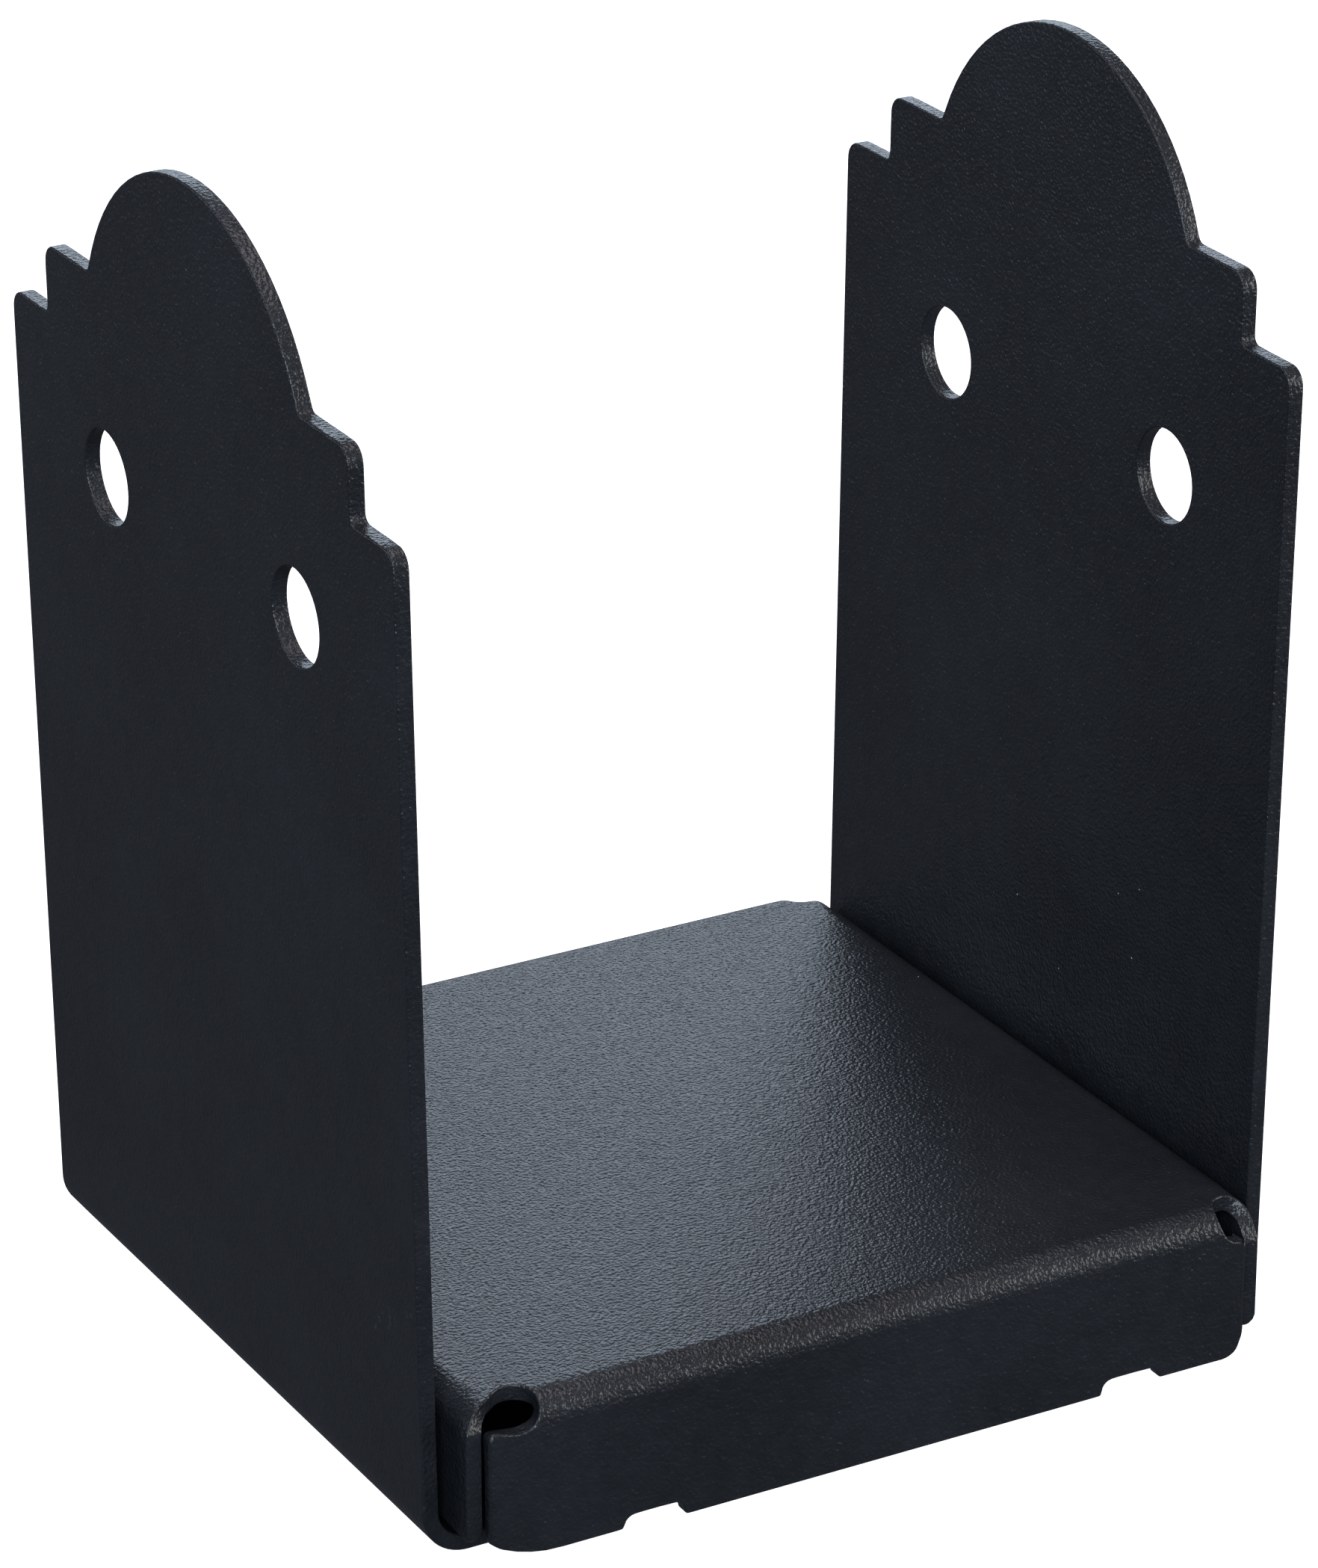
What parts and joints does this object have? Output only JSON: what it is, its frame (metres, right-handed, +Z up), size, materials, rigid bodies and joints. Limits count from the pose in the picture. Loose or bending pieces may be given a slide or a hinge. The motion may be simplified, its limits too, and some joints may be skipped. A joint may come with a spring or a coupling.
{
  "type": "post base",
  "caption": "Bent-sheet saddle with two ornamental ears and a loose stand-off pan that holds the foot of a square timber post off the ground.",
  "frame": {"origin": "centre of the anchor hole, on the underside of the saddle's web", "axes": "+X from ear to ear across the post gap, +Y to the back, +Z up"},
  "size_m": [0.1518, 0.1368, 0.1945],
  "materials": {
    "powder_coat": "fine-textured black powder coat"
  },
  "bodies": {
    "saddle": {"saddle": "powder_coat"},
    "pan": {"standoff_pan": "powder_coat"}
  },
  "joints": [
    {"name": "pan_lift", "type": "slide", "parent": "saddle", "child": "pan", "axis": [0, 0, 1], "range_m": [0, 0.2]}
  ]
}
